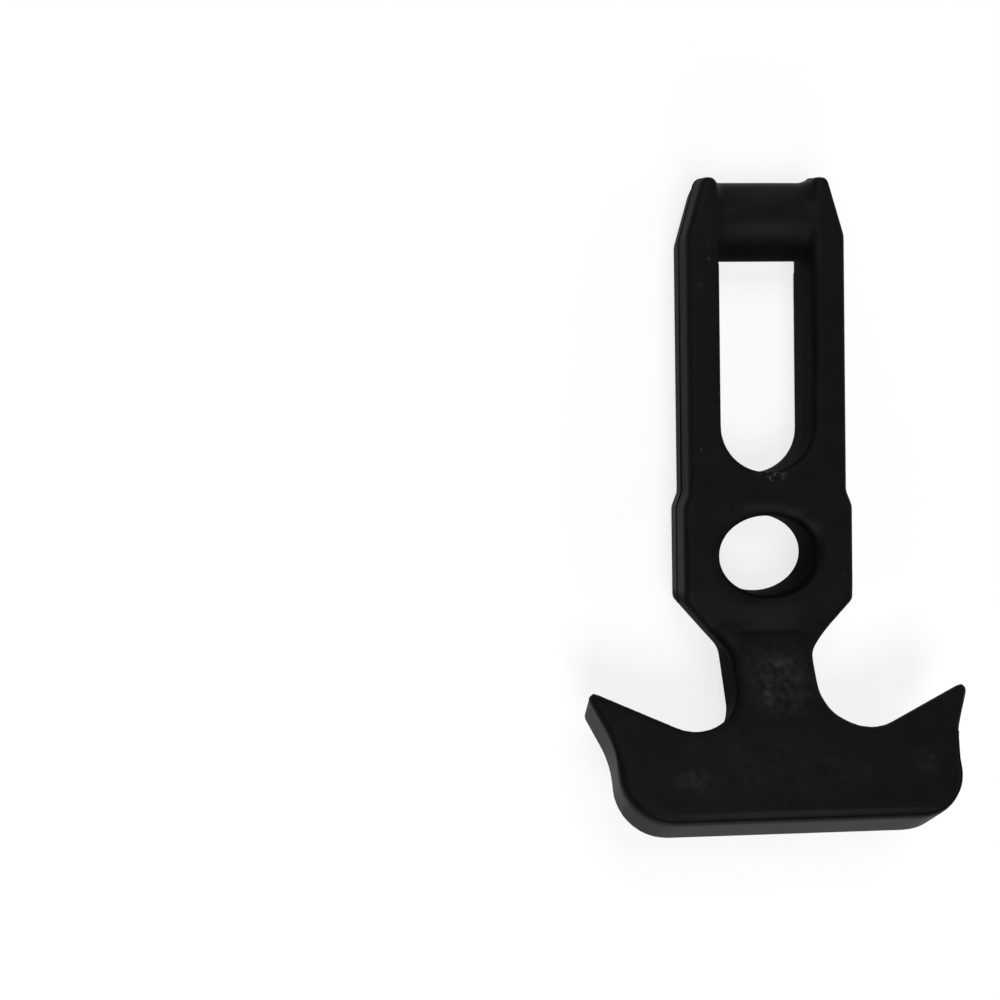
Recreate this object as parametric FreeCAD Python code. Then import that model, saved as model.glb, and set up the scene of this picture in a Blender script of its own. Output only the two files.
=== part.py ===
"""Rubber T draw latch: a pull strap moulded in one piece.

The strap lies on its flat back. X runs across it, Y along it towards the barrel, Z up out of its front face.
Two rails carry a cross barrel at the far end, which a bracket holds. A hub with an oval eye joins the rails.
Below the hub the strap bends up through a short neck into a T grip, whose two arms hook over a keeper.
All sizes are millimetres. Places along the strap are measured from the centre of the eye, and places along
the grip from the crease where the neck bends.
"""
import FreeCAD, Part
import math
import os

Vector = FreeCAD.Vector

# Rails and the slot between them
STRAP_THICKNESS = 14.0
SLOT_HALF_WIDTH = 9.75
SLOT_CLEAR_LENGTH = 44.7
RAIL_WIDTH = 6.7

# Hub and the oval eye through it
HUB_STEP = 1.2
HUB_SHOULDER_RISE = 3.0
HUB_UPPER_REACH = 10.2
HUB_LOWER_REACH = 9.4
HUB_TAPER_ANGLE = 41.1
EYE_HALF_WIDTH = 10.25
EYE_HALF_HEIGHT = 8.4
EYE_TO_SLOT_WEB = 8.8
CORNER_RADIUS = 1.2

# Cross barrel and the ears beside it
BARREL_HALF_HEIGHT = 8.1
BARREL_SINK = 0.3
EAR_RISE = 0.9
EAR_TIP_RADIUS = 1.6
EAR_FACE_SETBACK = 1.1
EAR_SLOPE_LENGTH = 13.0

# Neck and bend
RAMP_LENGTH = 7.2
RAMP_DROP = 0.9
RAMP_RADIUS = 24.0
CREASE_REACH = 14.65
CREASE_RADIUS = 2.6
BEND_ANGLE = 30.6
BACK_BEND_RADIUS = 12.0
NECK_HALF_WIDTH = 8.35
NECK_CORNER_RADIUS = 3.5

# T grip, seen square to its own face
GRIP_THICKNESS = 12.7
GRIP_LENGTH = 40.0
GRIP_HALF_WIDTH = 34.15
GRIP_CORNER_RADIUS = 10.2
SEAT_RADIUS = 9.4
HORN_OVERHANG = 5.7
HORN_REACH = 12.2
HORN_TIP_RADIUS = 1.05
HORN_EDGE_ANGLE = 25.8
WAIST_REACH = 24.7
WAIST_RADIUS = 20.0

# Moulding
STRAP_DRAFT = 0.2
GRIP_DRAFT = 0.22
EDGE_RADIUS = 1.0
EYE_EDGE_RADIUS = 1.4

# Places worked out from the sizes above
MID_PLANE = STRAP_THICKNESS / 2.0
STRAP_HALF_WIDTH = SLOT_HALF_WIDTH + RAIL_WIDTH
HUB_HALF_WIDTH = STRAP_HALF_WIDTH + HUB_STEP
SLOT_BOTTOM = EYE_HALF_HEIGHT + EYE_TO_SLOT_WEB
BARREL_Y = SLOT_BOTTOM + SLOT_CLEAR_LENGTH + BARREL_HALF_HEIGHT
EAR_TOP = BARREL_Y + BARREL_HALF_HEIGHT + EAR_RISE
NECK_Y = -HUB_LOWER_REACH - (HUB_HALF_WIDTH - NECK_HALF_WIDTH) / math.tan(math.radians(HUB_TAPER_ANGLE))
BEND = math.radians(BEND_ANGLE)
CREASE = Vector(0.0, -CREASE_REACH, STRAP_THICKNESS - RAMP_DROP)
GRIP_DOWN = Vector(0.0, -math.cos(BEND), math.sin(BEND))
GRIP_FRONT = Vector(0.0, math.sin(BEND), math.cos(BEND))
ACROSS = Vector(1.0, 0.0, 0.0)

# The neck's stub runs on inside the grip, and the blocks that are cut by the side view stand past it
MARGIN = 1.0
STUB_Y = min(NECK_Y - NECK_CORNER_RADIUS, CREASE.y - STRAP_THICKNESS * math.sin(BEND)) - MARGIN
OVERRUN = (CREASE.y - STUB_Y) * math.tan(BEND) + MARGIN

# Two points this near are one, and two faces whose normals agree this well meet smoothly
TOUCH = 1e-4
SMOOTH_COSINE = 0.98


def line_crossing(point_a, heading_a, point_b, heading_b):
    """Return the point where two lines in a plane cross."""
    turn = heading_a[0] * heading_b[1] - heading_a[1] * heading_b[0]
    gap = (point_b[0] - point_a[0], point_b[1] - point_a[1])
    reach = (gap[0] * heading_b[1] - gap[1] * heading_b[0]) / turn
    return point_a[0] + reach * heading_a[0], point_a[1] + reach * heading_a[1]


def heading(start, end):
    """Return the unit direction from one plane point to another."""
    run = (end[0] - start[0], end[1] - start[1])
    length = math.hypot(*run)
    return run[0] / length, run[1] / length


def inset_corners(corners, inset, square_edges):
    """Move each edge of an anticlockwise outline inwards, apart from the edges listed as square."""
    count = len(corners)
    lines = []
    for index in range(count):
        start = corners[index]
        along = heading(start, corners[(index + 1) % count])
        step = 0.0 if index in square_edges else inset
        lines.append(((start[0] - step * along[1], start[1] + step * along[0]), along))
    moved = []
    for index in range(count):
        before = lines[index - 1]
        after = lines[index]
        place = line_crossing(before[0], before[1], after[0], after[1])
        turn = before[1][0] * after[1][1] - before[1][1] * after[1][0]
        radius = corners[index][2]
        if radius > 0.0:
            radius += -inset if turn > 0.0 else inset
        moved.append((place[0], place[1], radius))
    return moved


def rounded_outline(corners, place):
    """Make a closed wire of lines and tangent arcs. A corner is (a, b, radius), and place maps a, b to 3-D."""
    count = len(corners)
    spans = []
    for index in range(count):
        corner = corners[index]
        back = heading(corner, corners[index - 1])
        ahead = heading(corner, corners[(index + 1) % count])
        half = 0.5 * math.acos(back[0] * ahead[0] + back[1] * ahead[1])
        tangent = corner[2] / math.tan(half)
        start = (corner[0] + tangent * back[0], corner[1] + tangent * back[1])
        end = (corner[0] + tangent * ahead[0], corner[1] + tangent * ahead[1])
        inward = heading((0.0, 0.0), (back[0] + ahead[0], back[1] + ahead[1]))
        depth = corner[2] / math.sin(half) - corner[2]
        middle = (corner[0] + depth * inward[0], corner[1] + depth * inward[1])
        spans.append((start, middle, end))
    edges = []
    for index in range(count):
        start, middle, end = spans[index]
        if corners[index][2] > 0.0:
            edges.append(Part.Arc(place(*start), place(*middle), place(*end)).toShape())
        next_start = spans[(index + 1) % count][0]
        if math.dist(end, next_start) > TOUCH:
            edges.append(Part.makeLine(place(*end), place(*next_start)))
    return Part.Wire(edges)


def both_sides(right_half):
    """Close an outline whose right half runs anticlockwise, by adding its mirror image."""
    left_half = [(-x, y, radius) for x, y, radius in reversed(right_half)]
    return right_half + left_half


def strap_place(height):
    """Return the map from strap coordinates to 3-D at one height."""
    return lambda x, y: Vector(x, y, height)


def grip_place(offset):
    """Return the map from grip coordinates to 3-D at one offset in front of the grip's face."""
    return lambda x, reach: CREASE + ACROSS * x + GRIP_DOWN * reach + GRIP_FRONT * offset


def parting_lean(height):
    """Return how far a height stands from the parting plane: 0 on it, 1 at either face."""
    return abs(height - MID_PLANE) / MID_PLANE


def strap_section(height):
    """Return the fork outline of hub, rails and ears at one height, drawn in by the draft."""
    right = [
        (NECK_HALF_WIDTH, STUB_Y, 0.0),
        (NECK_HALF_WIDTH, NECK_Y, NECK_CORNER_RADIUS),
        (HUB_HALF_WIDTH, -HUB_LOWER_REACH, CORNER_RADIUS),
        (HUB_HALF_WIDTH, HUB_UPPER_REACH, CORNER_RADIUS),
        (STRAP_HALF_WIDTH, HUB_UPPER_REACH + HUB_SHOULDER_RISE, CORNER_RADIUS),
        (STRAP_HALF_WIDTH, EAR_TOP - EAR_SLOPE_LENGTH, CORNER_RADIUS),
        (SLOT_HALF_WIDTH + 2.0 * EAR_TIP_RADIUS, EAR_TOP, EAR_TIP_RADIUS),
        (SLOT_HALF_WIDTH, EAR_TOP, EAR_TIP_RADIUS),
        (SLOT_HALF_WIDTH, SLOT_BOTTOM, SLOT_HALF_WIDTH),
    ]
    corners = both_sides(right)
    lean = parting_lean(height)
    neck_edges = (0, len(corners) - 2)
    drafted = inset_corners(corners, STRAP_DRAFT * (lean - 1.0), neck_edges)
    drop = EAR_FACE_SETBACK * lean
    shaped = [(x, y - drop, radius) if y > BARREL_Y else (x, y, radius) for x, y, radius in drafted]
    return rounded_outline(shaped, strap_place(height))


def grip_section(offset):
    """Return the T outline of the grip at one offset from its face, drawn in by the draft behind the face."""
    rise = math.radians(HORN_EDGE_ANGLE)
    horn = (GRIP_HALF_WIDTH + HORN_OVERHANG, HORN_REACH)
    seat = line_crossing(horn, (math.cos(rise), -math.sin(rise)), (NECK_HALF_WIDTH, 0.0), (0.0, 1.0))
    waist_half_turn = 0.5 * math.atan2(HORN_OVERHANG, WAIST_REACH - HORN_REACH)
    side_wall = GRIP_LENGTH - GRIP_CORNER_RADIUS - WAIST_REACH - 0.5 * EDGE_RADIUS
    waist_radius = min(WAIST_RADIUS, max(0.0, side_wall / math.tan(waist_half_turn)))
    right = [
        (NECK_HALF_WIDTH, 0.0, 0.0),
        (seat[0], seat[1], SEAT_RADIUS),
        (horn[0], horn[1], HORN_TIP_RADIUS),
        (GRIP_HALF_WIDTH, WAIST_REACH, waist_radius),
        (GRIP_HALF_WIDTH, GRIP_LENGTH, GRIP_CORNER_RADIUS),
    ]
    corners = both_sides(right)
    neck_edges = (0, len(corners) - 2, len(corners) - 1)
    drafted = inset_corners(corners, -GRIP_DRAFT * offset / GRIP_THICKNESS, neck_edges)
    return rounded_outline(drafted, grip_place(offset))


def side_outline(x):
    """Return the side view at one x: the strap's flat, the ramp, the crease, the grip and the bend behind."""
    grip_end = CREASE + GRIP_DOWN * (GRIP_LENGTH + OVERRUN)
    back_end = grip_end - GRIP_FRONT * GRIP_THICKNESS
    back_bend = line_crossing((back_end.y, back_end.z), (GRIP_DOWN.y, GRIP_DOWN.z), (0.0, 0.0), (1.0, 0.0))
    far_y = EAR_TOP + OVERRUN
    corners = [
        (far_y, STRAP_THICKNESS, 0.0),
        (RAMP_LENGTH - CREASE_REACH, STRAP_THICKNESS, RAMP_RADIUS),
        (CREASE.y, CREASE.z, CREASE_RADIUS),
        (grip_end.y, grip_end.z, 0.0),
        (back_end.y, back_end.z, 0.0),
        (back_bend[0], back_bend[1], BACK_BEND_RADIUS),
        (far_y, 0.0, 0.0),
    ]
    return rounded_outline(corners, lambda y, z: Vector(x, y, z))


def oval_wire(half_a, half_b, place):
    """Return an ellipse about the origin of a plane, whichever of its half axes is the longer."""
    tip_a = place(half_a, 0.0)
    tip_b = place(0.0, half_b)
    tips = (tip_a, tip_b) if half_a >= half_b else (tip_b, tip_a)
    return Part.Wire([Part.Ellipse(tips[0], tips[1], place(0.0, 0.0)).toShape()])


def lies_on(edge, outline):
    """Tell whether an edge runs in a face that the side view draws."""
    first, last = edge.ParameterRange
    for share in (0.1, 0.5, 0.9):
        point = edge.valueAt(first + share * (last - first))
        side_point = Part.Vertex(0.0, point.y, point.z)
        if side_point.distToShape(outline)[0] > TOUCH:
            return False
    return True


def is_sharp(edge, shape):
    """Tell whether the two faces beside an edge meet at a corner, not smoothly."""
    first, last = edge.ParameterRange
    point = edge.valueAt(0.5 * (first + last))
    faces = shape.ancestorsOfType(edge, Part.Face)
    normals = [face.normalAt(*face.Surface.parameter(point)) for face in faces]
    return len(normals) == 2 and abs(normals[0].dot(normals[1])) < SMOOTH_COSINE


def with_round_rims(shape, radius):
    """Round every sharp rim that stands in the front or back face."""
    outline = side_outline(0.0)
    rims = [edge for edge in shape.Edges if lies_on(edge, outline) and is_sharp(edge, shape)]
    return shape.makeFillet(radius, rims)


def moulded_blank():
    """Return the strap and the grip as one solid, with the outer edges of both faces rounded."""
    half_span = GRIP_HALF_WIDTH + HORN_OVERHANG + MARGIN
    slab = Part.Face(side_outline(-half_span)).extrude(ACROSS * 2.0 * half_span)
    heights = (-OVERRUN, MID_PLANE, STRAP_THICKNESS + OVERRUN)
    strap = Part.makeLoft([strap_section(height) for height in heights], True, True)
    offsets = (-GRIP_THICKNESS - OVERRUN, OVERRUN)
    grip = Part.makeLoft([grip_section(offset) for offset in offsets], True, True)
    blank = strap.common(slab).fuse(grip.common(slab)).removeSplitter()
    return with_round_rims(blank, EDGE_RADIUS)


def with_eye(blank):
    """Cut the oval eye through the hub, narrowest at the parting plane, and round its two rims."""
    sections = []
    for height in (0.0, MID_PLANE, STRAP_THICKNESS):
        inset = STRAP_DRAFT * (1.0 - parting_lean(height))
        sections.append(oval_wire(EYE_HALF_WIDTH - inset, EYE_HALF_HEIGHT - inset, strap_place(height)))
    core = Part.makeLoft(sections, True, True)
    return with_round_rims(blank.cut(core), EYE_EDGE_RADIUS)


def barrel():
    """Return the oval cross barrel, let into the rails at both ends."""
    half_length = SLOT_HALF_WIDTH + EAR_TIP_RADIUS
    place = lambda y, z: Vector(-half_length, BARREL_Y + y, MID_PLANE + z)
    section = oval_wire(BARREL_HALF_HEIGHT, MID_PLANE - BARREL_SINK, place)
    return Part.Face(section).extrude(ACROSS * 2.0 * half_length)


def latch_strap():
    """Return the finished strap, its origin below the middle of its outline on the plane of its back."""
    body = with_eye(moulded_blank()).fuse(barrel()).removeSplitter()
    solid = body.Solids[0]
    box = solid.optimalBoundingBox()
    solid.translate(Vector(0.0, -0.5 * (box.YMin + box.YMax), -box.ZMin))
    return solid


os.makedirs("parts", exist_ok=True)
strap = latch_strap()
strap.exportStep("parts/t_latch_strap.step")
print("t_latch_strap volume", round(strap.Volume, 1), "mm3, box", strap.optimalBoundingBox())
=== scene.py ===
"""Looks of a rubber T draw latch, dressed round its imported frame.

The strap lies on its flat back on a pale floor. X runs across it, Y along it towards the barrel, and Z up out
of its front face. Places are metres in the part's own frame; sizes named _mm are millimetres.
"""
import logging
import math
from collections.abc import Mapping, Sequence
from dataclasses import dataclass, field
from enum import Enum

import bmesh
import bpy
from mathutils import Euler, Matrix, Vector


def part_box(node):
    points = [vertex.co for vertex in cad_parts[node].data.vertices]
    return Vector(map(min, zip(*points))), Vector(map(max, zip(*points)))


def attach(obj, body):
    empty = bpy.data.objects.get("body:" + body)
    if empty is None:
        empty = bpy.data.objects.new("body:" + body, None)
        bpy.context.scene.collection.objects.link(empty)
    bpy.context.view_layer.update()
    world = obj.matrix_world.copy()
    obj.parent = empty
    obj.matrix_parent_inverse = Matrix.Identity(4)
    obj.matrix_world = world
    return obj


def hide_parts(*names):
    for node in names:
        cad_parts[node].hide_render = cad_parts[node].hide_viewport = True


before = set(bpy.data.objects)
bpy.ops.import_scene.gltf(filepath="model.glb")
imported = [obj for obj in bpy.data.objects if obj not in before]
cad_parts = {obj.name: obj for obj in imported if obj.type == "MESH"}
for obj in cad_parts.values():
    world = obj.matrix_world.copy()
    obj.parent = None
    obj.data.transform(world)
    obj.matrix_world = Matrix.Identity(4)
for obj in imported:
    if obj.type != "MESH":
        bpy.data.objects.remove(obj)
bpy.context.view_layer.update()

MM = 0.001
# A soft rim is fully soft over the inner 1 - 1 / SOFT_SLOPE of its reach.
SOFT_SLOPE = 2.5
# Shares of a mark's reach at which it ends and at which it is full.
MARK_SPAN = (1.0, 0.2)
STRAP_NODE = "t_latch_strap"
BODY = "root"
LOG = logging.getLogger("t_draw_latch")

Colour = tuple[float, float, float]
Place = tuple[float, float, float]
Span = tuple[float, float]


@dataclass(frozen=True)
class Signal:
    """A socket that carries a number, with the arithmetic that adds its Math nodes."""

    sheet: "NodeSheet"
    socket: bpy.types.NodeSocket

    def __add__(self, other: "Signal | float") -> "Signal":
        """Add a signal or a number."""
        return self.sheet.maths("ADD", self, other)

    def __radd__(self, other: float) -> "Signal":
        """Add to a number."""
        return self.sheet.maths("ADD", other, self)

    def __sub__(self, other: "Signal | float") -> "Signal":
        """Take away a signal or a number."""
        return self.sheet.maths("SUBTRACT", self, other)

    def __rsub__(self, other: float) -> "Signal":
        """Take away from a number."""
        return self.sheet.maths("SUBTRACT", other, self)

    def __mul__(self, other: "Signal | float") -> "Signal":
        """Multiply by a signal or a number."""
        return self.sheet.maths("MULTIPLY", self, other)

    def __rmul__(self, other: float) -> "Signal":
        """Multiply a number."""
        return self.sheet.maths("MULTIPLY", other, self)


class NodeSheet:
    """A node tree that is being drawn up."""

    def __init__(self, tree: bpy.types.NodeTree) -> None:
        """Keep the tree.

        Args:
            tree: The shader or geometry tree that the nodes go into.
        """
        self.tree = tree

    def node(self, kind: str, settings: Mapping[str, object] | None = None,
             values: Mapping[str | int, object] | None = None) -> bpy.types.Node:
        """Add one node.

        Args:
            kind: The node's type.
            settings: Its own settings, set before its sockets.
            values: A number, colour, vector, Signal or socket for each input, by name or index.

        Returns:
            The node.
        """
        made = self.tree.nodes.new(kind)
        for name, value in (settings or {}).items():
            setattr(made, name, value)
        for key, value in (values or {}).items():
            source = value.socket if isinstance(value, Signal) else value
            if isinstance(source, bpy.types.NodeSocket):
                self.tree.links.new(source, made.inputs[key])
            else:
                made.inputs[key].default_value = source
        return made

    def maths(self, operation: str, *terms: "Signal | float") -> Signal:
        """Add a Math node.

        Args:
            operation: Its operation.
            terms: Its inputs in order.

        Returns:
            Its result.
        """
        made = self.node("ShaderNodeMath", {"operation": operation}, dict(enumerate(terms)))
        return Signal(self, made.outputs[0])

    def rise(self, signal: Signal, low: float, high: float) -> Signal:
        """Turn a signal into a smooth mask.

        Args:
            signal: The signal.
            low: Where the mask is 0.
            high: Where it is 1. It may be under low.

        Returns:
            The mask.
        """
        made = self.node("ShaderNodeMapRange", {"interpolation_type": "SMOOTHSTEP"},
                         {0: signal, 1: low, 2: high})
        return Signal(self, made.outputs[0])

    def mix(self, mask: Signal, first: object, second: object) -> bpy.types.NodeSocket:
        """Mix two colours.

        Args:
            mask: 0 gives the first colour and 1 the second.
            first: A colour or a socket.
            second: A colour or a socket.

        Returns:
            The mixed colour's socket.
        """
        made = self.node("ShaderNodeMix", {"data_type": "RGBA"}, {0: mask, 6: first, 7: second})
        return made.outputs[2]


class MarkKind(Enum):
    """The kinds of mark on the rubber.

    Bloom is a mottled pale film. The smooth pale marks are a real film on the neck, and painted highlights
    and sheen on the ramp, the barrel, the grip's rim and round the eye. A scuff is rubbed and speckled, a
    speck is a grain of dust, and a shade line is painted shade along a crease or a rim, made rougher too.
    """

    BLOOM = "bloom"
    HAZE_AND_SHEEN = "haze_and_sheen"
    SCUFF = "scuff"
    SPECK = "speck"
    SHADE_LINE = "shade_line"


@dataclass(frozen=True)
class SurfaceMark:
    """A place where the rubber has bloom, a pale film, scuffs or dust, or where a highlight, sheen or line of
    shade is painted on.

    Attributes:
        kind: What it is.
        centre_mm: Its middle in the part's frame.
        reach_mm: How far it reaches along each axis.
        strength: How much of its colour it takes on in the middle.
    """

    kind: MarkKind
    centre_mm: Place
    reach_mm: Place
    strength: float = 1.0


@dataclass(frozen=True)
class WallZone:
    """Some of the strap's walls, painted darker as shade and rougher than the faces, on both sides of the
    middle.

    Attributes:
        inner_mm: Nearest to the middle that they stand.
        outer_mm: Farthest from the middle that they stand.
        low_mm: The lowest Y that they reach.
        high_mm: The highest Y that they reach.
        strength: How much painted shade and dullness they take on, from 0 to 1.
        blend_mm: Width over which that fades out at the inner and outer bounds.
    """

    inner_mm: float
    outer_mm: float
    low_mm: float
    high_mm: float
    strength: float
    blend_mm: float = 0.6


@dataclass(frozen=True)
class ShadedWalls:
    """The walls between the faces and the flat back, in zones of their own painted shade and dullness.

    Attributes:
        zones: The zones.
        front_mm: Height of the strap's front face.
        ramp_mm: Y at which that face starts to fall towards the crease.
        crease_mm: Y and Z of the crease from which the grip bends up.
        bend_deg: How far it bends.
        grip_mm: Thickness of the grip.
        edge_mm: Depths behind a face at which the painted shade and the duller finish start and are full.
        end_mm: Length over which it fades out at a zone's ends.
    """

    zones: tuple[WallZone, ...]
    front_mm: float = 14.0
    ramp_mm: float = -19.55
    crease_mm: tuple[float, float] = (-26.75, 13.1)
    bend_deg: float = 30.6
    grip_mm: float = 12.7
    edge_mm: Span = (0.12, 0.84)
    end_mm: float = 2.4

    def mask(self, sheet: NodeSheet, place: bpy.types.NodeSocket) -> Signal:
        """Return a mask that is as strong on those walls as they take painted shade and dullness.

        Args:
            sheet: The material's tree.
            place: The Object coordinates.
        """
        parts = sheet.node("ShaderNodeSeparateXYZ", None, {0: place}).outputs
        aside = sheet.maths("ABSOLUTE", Signal(sheet, parts["X"]))
        along = Signal(sheet, parts["Y"])
        height = Signal(sheet, parts["Z"])
        bend = math.radians(self.bend_deg)
        fall = (self.front_mm - self.crease_mm[1]) / (self.ramp_mm - self.crease_mm[0])
        under_ramp = (self.front_mm - fall * self.ramp_mm) * MM + fall * along - height
        under_front = sheet.maths("MINIMUM", self.front_mm * MM - height, under_ramp)
        behind_grip = ((self.crease_mm[0] * MM - along) * math.sin(bend)
                       + (self.crease_mm[1] * MM - height) * math.cos(bend))
        edge = [MM * value for value in self.edge_mm]
        off_face = sheet.rise(sheet.maths("MAXIMUM", under_front, behind_grip), *edge)
        off_back = sheet.rise(height, *edge) * sheet.rise(self.grip_mm * MM - behind_grip, *edge)
        shade_and_dullness: Signal | float = 0.0
        for zone in self.zones:
            within = (sheet.rise(aside, zone.outer_mm * MM, (zone.outer_mm - zone.blend_mm) * MM)
                      * sheet.rise(aside, (zone.inner_mm - zone.blend_mm) * MM, zone.inner_mm * MM)
                      * sheet.rise(along, zone.low_mm * MM, (zone.low_mm + self.end_mm) * MM)
                      * sheet.rise(along, zone.high_mm * MM, (zone.high_mm - self.end_mm) * MM))
            shade_and_dullness = sheet.maths("MAXIMUM", shade_and_dullness, within * zone.strength)
        return off_face * off_back * shade_and_dullness


@dataclass(frozen=True)
class BlackRubber:
    """Finish of the moulded black rubber: a fine mould grain, faint flow mottle, pale bloom, scuffs and dust,
    with painted highlights, sheen and shade.

    Attributes:
        body: Colour of the clean rubber.
        dull_and_shade: Colour of the painted shade on the shaded walls and along the shade lines.
        bloom: Colour of the whitish bloom where it is strongest, also used for the painted highlights and
            sheen.
        scuff: Colour of rubbed specks.
        dust: Colour of lint and dust.
        roughness: Roughness of the clean rubber.
        dull_roughness: Roughness of the shaded walls and the shade lines.
        specular: Strength of its reflections.
        uneven_roughness: How far the flow mottle varies the roughness.
        bloom_roughness: How much rougher the bloom is.
        scuff_roughness: How much rougher the rubbed specks are.
        mottle_mm: Size of the flow mottle.
        mottle_span: Noise at which the flow mottle starts and is full.
        mottle_share: How much of the bloom's colour the flow mottle takes on.
        cloud_mm: Size of the bloom's blotches.
        cloud_span: Noise at which a blotch starts and is full.
        speckle_mm: Size of the rubbed specks.
        speckle_span: Noise at which a rubbed speck starts and is full.
        grain_mm: Size of the mould grain.
        grain_depth_mm: Depth of the mould grain.
        ripple_mm: Size of the slow unevenness of the faces.
        ripple_depth_mm: Depth of that unevenness.
        dust_mm: Spacing of the dust.
        dust_edge: Distances, in spacings, at which a grain of dust ends and is full.
        dust_bare_share: Share of the places that have no dust.
        marks: The bloom, smooth pale film, scuffs and dust, and the painted highlights, sheen and shade
            lines.
        walls: The walls with painted shade and a duller finish.
    """

    body: Colour = (0.0044, 0.0044, 0.0045)
    dull_and_shade: Colour = (0.0012, 0.0012, 0.0013)
    bloom: Colour = (0.0230, 0.0230, 0.0232)
    scuff: Colour = (0.0420, 0.0420, 0.0410)
    dust: Colour = (0.0300, 0.0300, 0.0300)
    roughness: float = 0.42
    dull_roughness: float = 0.90
    specular: float = 0.030
    uneven_roughness: float = 0.08
    bloom_roughness: float = 0.10
    scuff_roughness: float = 0.25
    mottle_mm: float = 5.0
    mottle_span: Span = (0.25, 0.75)
    mottle_share: float = 0.08
    cloud_mm: float = 1.5
    cloud_span: Span = (0.31, 0.68)
    speckle_mm: float = 0.9
    speckle_span: Span = (0.50, 0.60)
    grain_mm: float = 0.35
    grain_depth_mm: float = 0.02
    ripple_mm: float = 9.0
    ripple_depth_mm: float = 0.06
    dust_mm: float = 4.0
    dust_edge: Span = (0.045, 0.02)
    dust_bare_share: float = 0.70
    marks: tuple[SurfaceMark, ...] = ()
    walls: ShadedWalls = ShadedWalls(())

    def material(self, name: str) -> bpy.types.Material:
        """Build the material.

        Args:
            name: The material's name.

        Returns:
            The material.
        """
        made = bpy.data.materials.new(name)
        made.use_nodes = True
        made.node_tree.nodes.clear()
        sheet = NodeSheet(made.node_tree)
        place = sheet.node("ShaderNodeTexCoord").outputs["Object"]
        mottle = self._noise(sheet, place, self.mottle_mm, 4.0)
        grain = self._noise(sheet, place, self.grain_mm, 2.0)
        ripple = self._noise(sheet, place, self.ripple_mm, 1.0)
        cloud = sheet.rise(self._noise(sheet, place, self.cloud_mm, 4.0), *self.cloud_span)
        bloom = self._marks(sheet, place, MarkKind.BLOOM) * cloud
        # Painted highlights and sheen, with the smooth pale film on the neck.
        haze_and_sheen = self._marks(sheet, place, MarkKind.HAZE_AND_SHEEN)
        speckle = sheet.rise(self._noise(sheet, place, self.speckle_mm, 2.0), *self.speckle_span)
        scuff = self._marks(sheet, place, MarkKind.SCUFF) * speckle
        dust = sheet.maths("MAXIMUM", self._dust(sheet, place), self._marks(sheet, place, MarkKind.SPECK))
        # Painted shade on the shaded walls and along the shade lines, which are rougher too.
        dull_and_shade = sheet.maths("MAXIMUM", self.walls.mask(sheet, place), self._marks(sheet, place, MarkKind.SHADE_LINE))
        clean = sheet.mix(dull_and_shade, self._rgba(self.body), self._rgba(self.dull_and_shade))
        # Paler colour from the flow mottle, the bloom and the neck's pale film, and from the painted
        # highlights and sheen.
        pale = (sheet.rise(mottle, *self.mottle_span) * self.mottle_share
                + sheet.maths("MAXIMUM", bloom, haze_and_sheen))
        clouded = sheet.mix(pale, clean, self._rgba(self.bloom))
        scuffed = sheet.mix(scuff, clouded, self._rgba(self.scuff))
        colour = sheet.mix(dust, scuffed, self._rgba(self.dust))
        roughness = (self.roughness - 0.5 * self.uneven_roughness
                     + (self.dull_roughness - self.roughness) * dull_and_shade + self.uneven_roughness * mottle
                     + self.scuff_roughness * scuff + self.bloom_roughness * bloom)
        relief = grain * (self.grain_depth_mm * MM) + ripple * (self.ripple_depth_mm * MM)
        normal = sheet.node("ShaderNodeBump", None, {"Strength": 1.0, "Distance": 1.0, "Height": relief})
        shader = sheet.node("ShaderNodeBsdfPrincipled", None, {
            "Base Color": colour,
            "Roughness": roughness,
            "Normal": normal.outputs["Normal"],
            "Specular IOR Level": self.specular,
        })
        sheet.node("ShaderNodeOutputMaterial", None, {"Surface": shader.outputs["BSDF"]})
        return made

    @staticmethod
    def _rgba(colour: Colour) -> tuple[float, float, float, float]:
        """Return a colour with full alpha."""
        return (*colour, 1.0)

    @staticmethod
    def _noise(sheet: NodeSheet, place: bpy.types.NodeSocket, size_mm: float, detail: float) -> Signal:
        """Add a noise whose lumps have a given size.

        Args:
            sheet: The material's tree.
            place: The Object coordinates.
            size_mm: Size of a lump.
            detail: How many finer octaves ride on it.

        Returns:
            The noise, about 0.5 on average.
        """
        made = sheet.node("ShaderNodeTexNoise", None,
                          {"Vector": place, "Scale": 1.0 / (size_mm * MM), "Detail": detail})
        return Signal(sheet, made.outputs[0])

    def _dust(self, sheet: NodeSheet, place: bpy.types.NodeSocket) -> Signal:
        """Return the mask of dust specks, one at most in each cell of a Voronoi pattern.

        Args:
            sheet: The material's tree.
            place: The Object coordinates.
        """
        cells = sheet.node("ShaderNodeTexVoronoi", None,
                           {"Vector": place, "Scale": 1.0 / (self.dust_mm * MM), "Randomness": 1.0})
        near = sheet.rise(Signal(sheet, cells.outputs["Distance"]), *self.dust_edge)
        pick = sheet.node("ShaderNodeSeparateColor", None, {0: cells.outputs["Color"]})
        bare = self.dust_bare_share
        return near * sheet.rise(Signal(sheet, pick.outputs[0]), bare, bare + 0.10)

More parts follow.
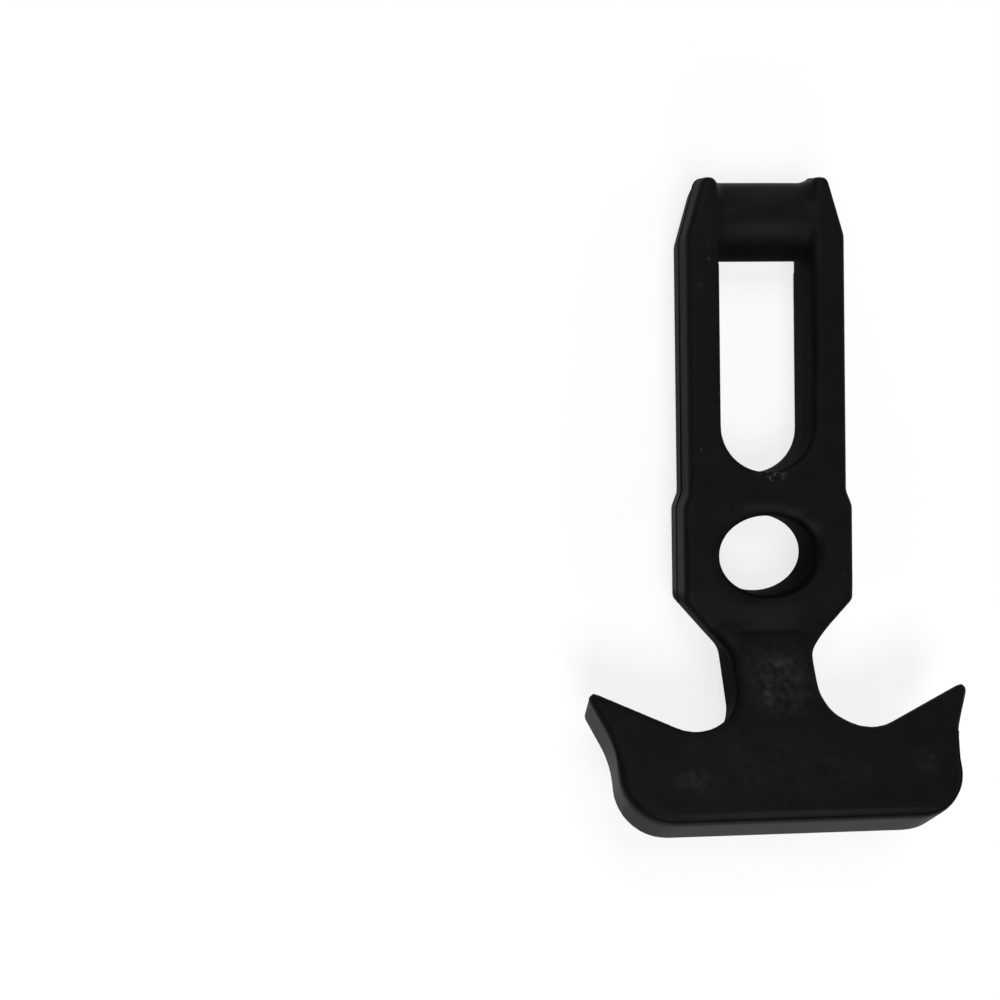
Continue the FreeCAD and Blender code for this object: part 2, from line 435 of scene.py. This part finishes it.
    def _marks(self, sheet: NodeSheet, place: bpy.types.NodeSocket, kind: MarkKind) -> Signal | float:
        """Return the mask of every mark of one kind, or plain 0 where there is none.

        Args:
            sheet: The material's tree.
            place: The Object coordinates.
            kind: The kind of mark.
        """
        mask: Signal | float = 0.0
        for mark in self.marks:
            if mark.kind is not kind:
                continue
            squeezed = sheet.node("ShaderNodeMapping", {"vector_type": "TEXTURE"}, {
                "Vector": place,
                "Location": [MM * value for value in mark.centre_mm],
                "Scale": [MM * value for value in mark.reach_mm],
            })
            length = sheet.node("ShaderNodeVectorMath", {"operation": "LENGTH"}, {0: squeezed.outputs[0]})
            spot = sheet.rise(Signal(sheet, length.outputs["Value"]), *MARK_SPAN) * mark.strength
            mask = sheet.maths("MAXIMUM", mask, spot)
        return mask


def new_piece(name: str, mesh: bpy.types.Mesh, material: bpy.types.Material) -> bpy.types.Object:
    """Put a mesh into the scene as a smooth-shaded piece.

    Args:
        name: The piece's name.
        mesh: Its mesh, already in place.
        material: Its only material.

    Returns:
        The piece.
    """
    mesh.name = name
    mesh.materials.clear()
    mesh.materials.append(material)
    mesh.shade_smooth()
    piece = bpy.data.objects.new(name, mesh)
    bpy.context.scene.collection.objects.link(piece)
    return piece


def baked_mesh(piece: bpy.types.Object) -> bpy.types.Mesh:
    """Return what an object's modifiers make of it as a plain mesh, and take the modifiers off.

    Args:
        piece: The object.
    """
    depsgraph = bpy.context.evaluated_depsgraph_get()
    depsgraph.update()
    mesh = bpy.data.meshes.new_from_object(piece.evaluated_get(depsgraph), depsgraph=depsgraph)
    piece.modifiers.clear()
    return mesh


def softness(away_mm: float, reach_mm: float) -> float:
    """Return how soft the skin is at a distance from a rim, full near it and fading over the outer part.

    Args:
        away_mm: The distance.
        reach_mm: Where it has faded out.

    Returns:
        The softness, from 0 to 1.
    """
    return max(0.0, min(1.0, SOFT_SLOPE * (1.0 - away_mm / reach_mm)))


@dataclass(frozen=True)
class SoftRun:
    """A straight stretch of rim that the mould rounds more than the rest.

    Attributes:
        start_mm: One end.
        end_mm: The other end.
        reach_mm: How far from the rim the softness reaches.
    """

    start_mm: Place
    end_mm: Place
    reach_mm: float

    def weight(self, place_mm: Vector) -> float:
        """Return how soft the skin is at a place, from 0 to 1.

        Args:
            place_mm: The place, with X on the positive side.
        """
        start = Vector(self.start_mm)
        run = Vector(self.end_mm) - start
        share = max(0.0, min(1.0, (place_mm - start).dot(run) / run.length_squared))
        away = (place_mm - start - share * run).length
        return softness(away, self.reach_mm)


@dataclass(frozen=True)
class SoftOval:
    """An oval rim that the mould rounds more than the rest.

    Attributes:
        centre_mm: Its middle.
        half_axes_mm: Half its width and half its height.
        reach_mm: How far from the rim the softness reaches.
    """

    centre_mm: Place
    half_axes_mm: tuple[float, float]
    reach_mm: float

    def weight(self, place_mm: Vector) -> float:
        """Return how soft the skin is at a place, from 0 to 1.

        Args:
            place_mm: The place, with X on the positive side.
        """
        offset = place_mm - Vector(self.centre_mm)
        ratio = math.hypot(offset.x / self.half_axes_mm[0], offset.y / self.half_axes_mm[1])
        away = math.hypot((ratio - 1.0) * min(self.half_axes_mm), offset.z)
        return softness(away, self.reach_mm)


@dataclass
class StrapMoulding:
    """The strap's skin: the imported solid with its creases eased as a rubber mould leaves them.

    Attributes:
        rubber: The material.
        cell_mm: Cell of the new skin.
        edge_passes: Smoothing passes over the whole skin.
        corner_passes: Extra passes where the barrel runs into the rails.
        rim_passes: Extra passes along the soft rims.
        swell_mm: How far the skin is let out again, because the passes draw it in.
        soft_rims: The soft rims on the positive side of X. The other side has the same.
        slot_half_width_mm: Half the slot's width, where those corners are.
        corner_reach_mm: How far from a corner the extra passes reach.
        barrel_reach_mm: How far below the strap's top the barrel reaches.
        weld_mm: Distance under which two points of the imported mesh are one.
    """

    rubber: bpy.types.Material
    cell_mm: float = 0.45
    edge_passes: int = 7
    corner_passes: int = 32
    rim_passes: int = 36
    swell_mm: float = 0.08
    soft_rims: tuple[SoftRun | SoftOval, ...] = (
        SoftRun((8.35, -27.0, 13.2), (8.35, -46.0, 24.5), 4.2),
        SoftRun((0.0, -61.0, 33.0), (24.0, -61.0, 33.0), 3.2),
        SoftRun((24.0, -61.0, 33.0), (31.2, -58.6, 31.9), 3.2),
        SoftRun((31.2, -58.6, 31.9), (34.1, -52.4, 28.3), 2.6),
        SoftOval((0.0, -12.1, 14.0), (10.4, 8.55), 3.8),
    )
    slot_half_width_mm: float = 9.75
    corner_reach_mm: float = 3.0
    barrel_reach_mm: float = 19.0
    weld_mm: float = 0.001
    welded: bpy.types.Mesh = field(init=False)

    def __post_init__(self) -> None:
        """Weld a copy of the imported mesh, which the skin and the parting line are made from."""
        self.welded = bpy.data.meshes.new("strap_welded")
        shape = bmesh.new()
        shape.from_mesh(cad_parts[STRAP_NODE].data)
        bmesh.ops.remove_doubles(shape, verts=shape.verts, dist=self.weld_mm * MM)
        shape.to_mesh(self.welded)
        shape.free()

    def build(self) -> bpy.types.Object:
        """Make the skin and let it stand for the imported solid.

        Returns:
            The finished piece.
        """
        rough = new_piece("strap_rough", self.welded.copy(), self.rubber)
        remesh = rough.modifiers.new("skin", "REMESH")
        remesh.mode = "VOXEL"
        remesh.voxel_size = self.cell_mm * MM
        skin = baked_mesh(rough)
        bpy.data.objects.remove(rough)
        piece = new_piece("strap_moulding", skin, self.rubber)
        self._weigh_corners(piece)
        self._weigh_rims(piece)
        self._add_smoothing(piece, "edges", self.edge_passes, "")
        self._add_smoothing(piece, "corners", self.corner_passes, "barrel_corners")
        self._add_smoothing(piece, "rims", self.rim_passes, "soft_rims")
        swell = piece.modifiers.new("swell", "DISPLACE")
        swell.strength = self.swell_mm * MM
        swell.mid_level = 0.0
        piece.data = baked_mesh(piece)
        piece.data.name = piece.name
        piece.vertex_groups.clear()
        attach(piece, BODY)
        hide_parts(STRAP_NODE)
        return piece

    def _weigh_corners(self, piece: bpy.types.Object) -> None:
        """Weigh each point by how near it is to the corners between barrel and rails.

        Args:
            piece: The skin.
        """
        group = piece.vertex_groups.new(name="barrel_corners")
        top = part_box(STRAP_NODE)[1].y
        wall = self.slot_half_width_mm * MM
        reach = self.corner_reach_mm * MM
        for vertex in piece.data.vertices:
            below = top - vertex.co.y
            aside = abs(abs(vertex.co.x) - wall)
            if below < self.barrel_reach_mm * MM and aside < reach:
                group.add([vertex.index], 1.0 - aside / reach, "REPLACE")

    def _weigh_rims(self, piece: bpy.types.Object) -> None:
        """Weigh each point by how near it is to a soft rim.

        Args:
            piece: The skin.
        """
        group = piece.vertex_groups.new(name="soft_rims")
        for vertex in piece.data.vertices:
            place_mm = Vector((abs(vertex.co.x), vertex.co.y, vertex.co.z)) / MM
            weight = max(rim.weight(place_mm) for rim in self.soft_rims)
            if weight > 0.0:
                group.add([vertex.index], weight, "REPLACE")

    @staticmethod
    def _add_smoothing(piece: bpy.types.Object, name: str, passes: int, group: str) -> None:
        """Add a smoothing modifier.

        Args:
            piece: The skin.
            name: The modifier's name.
            passes: How many passes it makes.
            group: The vertex group that it is kept to, or an empty text.
        """
        smooth = piece.modifiers.new(name, "SMOOTH")
        smooth.factor = 0.5
        smooth.iterations = passes
        smooth.vertex_group = group


@dataclass(frozen=True)
class PartingPlane:
    """A plane in which the mould's halves meet, and the stretch along the strap in which they do.

    Attributes:
        point_mm: A point of the plane, in the part's frame.
        lean_deg: How far the plane's normal leans from +Z towards +Y.
        low_mm: The lowest Y of the stretch.
        high_mm: The highest Y of the stretch.
        inner_mm: Nearer the middle than this there is none.
    """

    point_mm: Place
    lean_deg: float
    low_mm: float
    high_mm: float
    inner_mm: float

    @property
    def normal(self) -> Vector:
        """The plane's unit normal."""
        lean = math.radians(self.lean_deg)
        return Vector((0.0, math.sin(lean), math.cos(lean)))


@dataclass
class PartingLine:
    """The thin line of flash that the mould's halves leave round the walls.

    Attributes:
        rubber: The material.
        welded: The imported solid's welded mesh.
        skin: The strap's skin, which the line lies on.
        planes: The planes in which the halves meet.
        width_mm: Width of the line.
        step_mm: Length of its steps.
        upright_cosine: How far a wall's normal may lean out of the plane.
    """

    rubber: bpy.types.Material
    welded: bpy.types.Mesh
    skin: bpy.types.Object
    planes: tuple[PartingPlane, ...]
    width_mm: float = 0.42
    step_mm: float = 0.8
    upright_cosine: float = 0.75

    def build(self) -> bpy.types.Object:
        """Make the line along the walls.

        Returns:
            The finished piece.
        """
        path = bpy.data.objects.new("parting_path", self._path())
        bpy.context.scene.collection.objects.link(path)
        modifier = path.modifiers.new("bead", "NODES")
        modifier.node_group = self._bead_tree()
        inputs = {"Bead Width": self.width_mm * MM, "Step": self.step_mm * MM, "Rubber": self.rubber}
        for item in modifier.node_group.interface.items_tree:
            if item.name in inputs and item.in_out == "INPUT":
                modifier[item.identifier] = inputs[item.name]
        bead = baked_mesh(path)
        bpy.data.objects.remove(path)
        piece = new_piece("parting_line", bead, self.rubber)
        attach(piece, BODY)
        return piece

    def _path(self) -> bpy.types.Mesh:
        """Return the edges in which the parting planes cut the upright walls, laid on the skin."""
        corners: list[Vector] = []
        links: list[tuple[int, ...]] = []
        for plane in self.planes:
            shape = bmesh.new()
            shape.from_mesh(self.welded)
            cut = bmesh.ops.bisect_plane(shape, geom=shape.verts[:] + shape.edges[:] + shape.faces[:],
                                         plane_co=Vector(plane.point_mm) * MM, plane_no=plane.normal)
            edges = [item for item in cut["geom_cut"] if isinstance(item, bmesh.types.BMEdge)]
            kept = [edge for edge in edges if self._is_on_wall(edge, plane)]
            ends = dict.fromkeys(corner for edge in kept for corner in edge.verts)
            index = {corner: number for number, corner in enumerate(ends, start=len(corners))}
            corners.extend(self.skin.closest_point_on_mesh(corner.co)[1] for corner in index)
            links.extend(tuple(index[corner] for corner in edge.verts) for edge in kept)
            shape.free()
        mesh = bpy.data.meshes.new("parting_path")
        mesh.from_pydata(corners, links, [])
        return mesh

    def _is_on_wall(self, edge: bmesh.types.BMEdge, plane: PartingPlane) -> bool:
        """Tell whether a cut edge lies on an upright wall within the plane's stretch.

        Args:
            edge: The edge.
            plane: The plane that cut it.
        """
        upright = all(abs(face.normal.dot(plane.normal)) < self.upright_cosine for face in edge.link_faces)
        return upright and all(plane.low_mm * MM < corner.co.y < plane.high_mm * MM
                               and abs(corner.co.x) > plane.inner_mm * MM for corner in edge.verts)

    @staticmethod
    def _bead_tree() -> bpy.types.GeometryNodeTree:
        """Return the tree that lays a thin round bead along the path."""
        tree = bpy.data.node_groups.new("parting_bead", "GeometryNodeTree")
        face = tree.interface
        face.new_socket("Path", in_out="INPUT", socket_type="NodeSocketGeometry")
        face.new_socket("Bead Width", in_out="INPUT", socket_type="NodeSocketFloat")
        face.new_socket("Step", in_out="INPUT", socket_type="NodeSocketFloat")
        face.new_socket("Rubber", in_out="INPUT", socket_type="NodeSocketMaterial")
        face.new_socket("Bead", in_out="OUTPUT", socket_type="NodeSocketGeometry")
        sheet = NodeSheet(tree)
        given = sheet.node("NodeGroupInput").outputs
        half = Signal(sheet, given["Bead Width"]) * 0.5
        line = sheet.node("GeometryNodeMeshToCurve", None, {"Mesh": given["Path"]})
        even = sheet.node("GeometryNodeResampleCurve", {"mode": "LENGTH"},
                          {"Curve": line.outputs["Curve"], "Length": given["Step"]})
        profile = sheet.node("GeometryNodeCurvePrimitiveCircle", None, {"Resolution": 8, "Radius": half})
        bead = sheet.node("GeometryNodeCurveToMesh", None, {
            "Curve": even.outputs["Curve"],
            "Profile Curve": profile.outputs["Curve"],
            "Fill Caps": True,
        })
        real = sheet.node("GeometryNodeRealizeInstances", None, {"Geometry": bead.outputs["Mesh"]})
        dressed = sheet.node("GeometryNodeSetMaterial", None,
                             {"Geometry": real.outputs["Geometry"], "Material": given["Rubber"]})
        sheet.node("NodeGroupOutput", None, {"Bead": dressed.outputs["Geometry"]})
        return tree


@dataclass(frozen=True)
class SoftLamp:
    """A square soft lamp.

    Attributes:
        name: Its name.
        lean_deg: How far it leans from straight overhead.
        heading_deg: The compass heading that it leans to: 0 is +X and 90 is +Y.
        power: Its power in watts.
        side: Its side in metres.
        reach: Its distance from the part in metres.
    """

    name: str
    lean_deg: float
    heading_deg: float
    power: float
    side: float = 0.6
    reach: float = 1.2

    def hang(self) -> None:
        """Put the lamp into the scene, aimed at the part."""
        light = bpy.data.lights.new(self.name, "AREA")
        light.shape = "SQUARE"
        light.size = self.side
        light.energy = self.power
        lamp = bpy.data.objects.new(self.name, light)
        turn = Euler((math.radians(self.lean_deg), 0.0, math.radians(self.heading_deg + 90.0)))
        lamp.rotation_euler = turn
        lamp.location = turn.to_matrix() @ Vector((0.0, 0.0, self.reach))
        bpy.context.scene.collection.objects.link(lamp)


@dataclass
class Studio:
    """The pale floor, the pale room, the soft lamps and the camera.

    Attributes:
        floor_side: Side of the floor in metres.
        floor_drop_mm: How far the floor lies under the strap.
        floor_colour: Colour of the floor.
        floor_glow: Share of plain white in the floor as the camera and reflections see it.
        ceiling: Brightness of the room overhead.
        horizon: Brightness of the room's walls.
        wall_span: How high the view points where the walls start to fade and where the ceiling is reached.
        lamps: The lamps.
        camera_place_mm: The camera's place in the part's frame.
        camera_turn_deg: Its turn about Z, then Y, then X.
        image_width_px: Width of the photograph.
        focal_px: The focal length in the photograph's pixels.
        sensor_mm: Width of the sensor.
    """

    floor_side: float = 6.0
    floor_drop_mm: float = 0.1
    floor_colour: Colour = (0.93, 0.93, 0.93)
    floor_glow: float = 0.75
    ceiling: float = 0.02
    horizon: float = 1.0
    wall_span: Span = (0.20, 0.50)
    lamps: tuple[SoftLamp, ...] = (
        SoftLamp("overhead", 25.0, -90.0, 8.3),
        SoftLamp("far_side", 30.0, 90.0, 6.5),
        SoftLamp("near_low", 75.0, -90.0, 5.5),
        SoftLamp("right_side", 55.0, 0.0, 1.2),
    )
    camera_place_mm: Place = (-69.68, 5.61, 249.67)
    camera_turn_deg: Place = (-1.272, -3.415, -0.965)
    image_width_px: float = 1000.0
    focal_px: float = 1161.0
    sensor_mm: float = 36.0

    def build(self) -> None:
        """Lay the floor, paint the room, hang the lamps and place the camera."""
        self._lay_floor()
        self._paint_room()
        for lamp in self.lamps:
            lamp.hang()
        self._place_camera()
        bpy.context.scene.view_settings.view_transform = "Standard"

    def _lay_floor(self) -> None:
        """Lay a square floor under the strap's back."""
        half = 0.5 * self.floor_side
        down = -self.floor_drop_mm * MM
        mesh = bpy.data.meshes.new("floor")
        corners = [(-half, -half, down), (half, -half, down), (half, half, down), (-half, half, down)]
        mesh.from_pydata(corners, [], [(0, 1, 2, 3)])
        material = bpy.data.materials.new("pale_floor")
        material.use_nodes = True
        material.node_tree.nodes.clear()
        sheet = NodeSheet(material.node_tree)
        paint = sheet.node("ShaderNodeBsdfDiffuse", None, {"Color": (*self.floor_colour, 1.0)})
        white = sheet.node("ShaderNodeEmission", None, {"Color": (1.0, 1.0, 1.0, 1.0), "Strength": 1.0})
        rays = sheet.node("ShaderNodeLightPath").outputs
        seen = (Signal(sheet, rays["Is Camera Ray"]) + Signal(sheet, rays["Is Glossy Ray"])
                + Signal(sheet, rays["Is Transmission Ray"]))
        floor_shader = sheet.node("ShaderNodeMixShader", None, {
            0: seen * self.floor_glow,
            1: paint.outputs["BSDF"],
            2: white.outputs["Emission"],
        })
        sheet.node("ShaderNodeOutputMaterial", None, {"Surface": floor_shader.outputs["Shader"]})
        mesh.materials.append(material)
        floor = bpy.data.objects.new("floor", mesh)
        bpy.context.scene.collection.objects.link(floor)

    def _paint_room(self) -> None:
        """Paint the room: pale walls that fade into a dim ceiling."""
        world = bpy.data.worlds.new("room")
        world.use_nodes = True
        world.node_tree.nodes.clear()
        sheet = NodeSheet(world.node_tree)
        towards = sheet.node("ShaderNodeTexCoord").outputs["Generated"]
        parts = sheet.node("ShaderNodeSeparateXYZ", None, {0: towards})
        up = Signal(sheet, parts.outputs["Z"])
        shade = sheet.mix(sheet.rise(up, *self.wall_span),
                          (*[self.horizon] * 3, 1.0), (*[self.ceiling] * 3, 1.0))
        light = sheet.node("ShaderNodeBackground", None, {"Color": shade, "Strength": 1.0})
        sheet.node("ShaderNodeOutputWorld", None, {"Surface": light.outputs["Background"]})
        bpy.context.scene.world = world

    def _place_camera(self) -> None:
        """Place the camera where the photograph was taken from."""
        lens = bpy.data.cameras.new("camera")
        lens.sensor_width = self.sensor_mm
        lens.lens = self.focal_px * self.sensor_mm / self.image_width_px
        lens.clip_start = 0.01
        camera = bpy.data.objects.new("camera", lens)
        camera.rotation_mode = "ZYX"
        camera.rotation_euler = [math.radians(turn) for turn in self.camera_turn_deg]
        camera.location = [MM * value for value in self.camera_place_mm]
        bpy.context.scene.collection.objects.link(camera)
        bpy.context.scene.camera = camera


def surface_marks() -> tuple[SurfaceMark, ...]:
    """Return the bloom, pale film, scuffs and dust on the strap, and its painted highlights, sheen and shade
    lines.
    """
    return (
        SurfaceMark(MarkKind.BLOOM, (0.2, -37.0, 19.2), (9.5, 12.5, 8.5), 0.55),
        SurfaceMark(MarkKind.BLOOM, (1.4, -33.8, 17.3), (4.0, 3.2, 3.0), 1.0),
        SurfaceMark(MarkKind.BLOOM, (-2.6, -39.6, 20.7), (1.6, 4.4, 3.0), 1.0),
        SurfaceMark(MarkKind.HAZE_AND_SHEEN, (0.0, -35.0, 18.0), (9.0, 10.0, 7.0), 0.10),
        SurfaceMark(MarkKind.BLOOM, (0.0, -52.0, 28.0), (34.0, 14.0, 9.0), 0.13),
        # Painted sheen on the ramp that falls towards the crease.
        SurfaceMark(MarkKind.HAZE_AND_SHEEN, (0.0, -24.6, 13.4), (9.0, 5.5, 2.4), 0.14),
        SurfaceMark(MarkKind.HAZE_AND_SHEEN, (0.0, -26.4, 13.2), (8.0, 2.6, 2.0), 0.24),
        # Painted highlights along the barrel's crest and its top rim.
        SurfaceMark(MarkKind.HAZE_AND_SHEEN, (0.5, 55.6, 13.6), (13.0, 2.6, 2.4), 0.20),
        SurfaceMark(MarkKind.HAZE_AND_SHEEN, (0.0, 63.0, 13.8), (13.0, 3.8, 3.0), 0.30),
        SurfaceMark(MarkKind.BLOOM, (-19.5, -54.2, 29.3), (6.0, 3.4, 3.4), 0.42),
        SurfaceMark(MarkKind.BLOOM, (26.6, -52.0, 27.9), (3.6, 4.4, 3.4), 0.30),
        # Painted highlight along the grip's outer rim.
        SurfaceMark(MarkKind.HAZE_AND_SHEEN, (0.0, -60.1, 32.8), (40.0, 0.8, 1.2), 0.42),
        # Painted highlight in an arc round the eye's upper rim.
        SurfaceMark(MarkKind.HAZE_AND_SHEEN, (-1.1, -2.0, 14.0), (7.0, 1.3, 1.0), 0.20),
        SurfaceMark(MarkKind.HAZE_AND_SHEEN, (5.6, -3.1, 14.0), (4.0, 1.4, 1.0), 0.15),
        SurfaceMark(MarkKind.HAZE_AND_SHEEN, (9.8, -6.1, 14.0), (2.0, 2.6, 1.0), 0.08),
        # Painted shade lines in the crease, along the slot's right rim and along the eye's right and lower
        # rims.
        SurfaceMark(MarkKind.SHADE_LINE, (0.0, -28.0, 13.8), (9.5, 1.2, 1.3), 0.7),
        SurfaceMark(MarkKind.SHADE_LINE, (10.2, 34.3, 14.0), (1.1, 26.0, 1.0), 0.6),
        SurfaceMark(MarkKind.SHADE_LINE, (11.0, -11.7, 14.0), (1.5, 6.0, 1.0), 0.55),
        SurfaceMark(MarkKind.SHADE_LINE, (-1.7, -21.4, 14.0), (7.0, 1.3, 1.0), 0.5),
        SurfaceMark(MarkKind.SCUFF, (0.4, 4.6, 13.6), (4.4, 1.8, 2.0)),
        SurfaceMark(MarkKind.SPECK, (-12.0, 49.0, 14.0), (0.5, 0.6, 0.5), 0.5),
        SurfaceMark(MarkKind.SPECK, (-13.9, 43.7, 14.0), (0.5, 0.4, 0.5), 0.4),
        SurfaceMark(MarkKind.SPECK, (-14.1, 10.0, 14.0), (0.4, 0.5, 0.5), 0.5),
        SurfaceMark(MarkKind.SPECK, (1.2, 54.3, 13.5), (0.9, 0.5, 0.5), 0.6),
    )


def shaded_walls() -> ShadedWalls:
    """Return the walls with their painted shade and dullness: eye, neck, shoulders, slot, hub, rails and
    grip's lower wall.
    """
    return ShadedWalls((
        # Painted shade: the eye, neck, shoulder and slot walls are painted nearly black where they stand in
        # shade, the outer hub, rail and grip walls a little darker; all are rougher too.
        WallZone(0.0, 10.6, -23.0, -2.0, 1.0),
        WallZone(0.0, 17.0, -51.0, -24.0, 1.0, 8.0),
        WallZone(9.0, 20.5, -35.0, -18.5, 0.8),
        WallZone(0.0, 10.6, -3.0, 54.0, 0.75),
        WallZone(10.6, 21.0, -22.0, 2.0, 0.25),
        WallZone(10.6, 21.0, -1.0, 70.0, 0.38),
        WallZone(-1.0, 33.0, -72.0, -56.0, 0.10),
    ))


def parting_planes() -> tuple[PartingPlane, ...]:
    """Return where the mould parts: half-way up the strap, and just behind the grip's face."""
    return (
        PartingPlane((0.0, 0.0, 7.0), 0.0, -33.1, 70.0, 10.6),
        PartingPlane((0.0, -26.93, 12.80), 30.6, -70.0, -47.0, 0.0),
    )


def report(piece: bpy.types.Object) -> None:
    """Log a piece's name and its faces.

    Args:
        piece: The piece.
    """
    LOG.info("%s: %d faces", piece.name, len(piece.data.polygons))


def main() -> None:
    """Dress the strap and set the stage."""
    logging.basicConfig(level=logging.INFO, format="%(name)s: %(message)s")
    rubber = BlackRubber(marks=surface_marks(), walls=shaded_walls()).material("moulded_black_rubber")
    flash = BlackRubber(roughness=0.85, specular=0.02).material("moulded_black_rubber_flash")
    moulding = StrapMoulding(rubber)
    skin = moulding.build()
    line = PartingLine(flash, moulding.welded, skin, parting_planes()).build()
    for piece in (skin, line):
        report(piece)
    Studio().build()


if __name__ == "__main__":
    main()
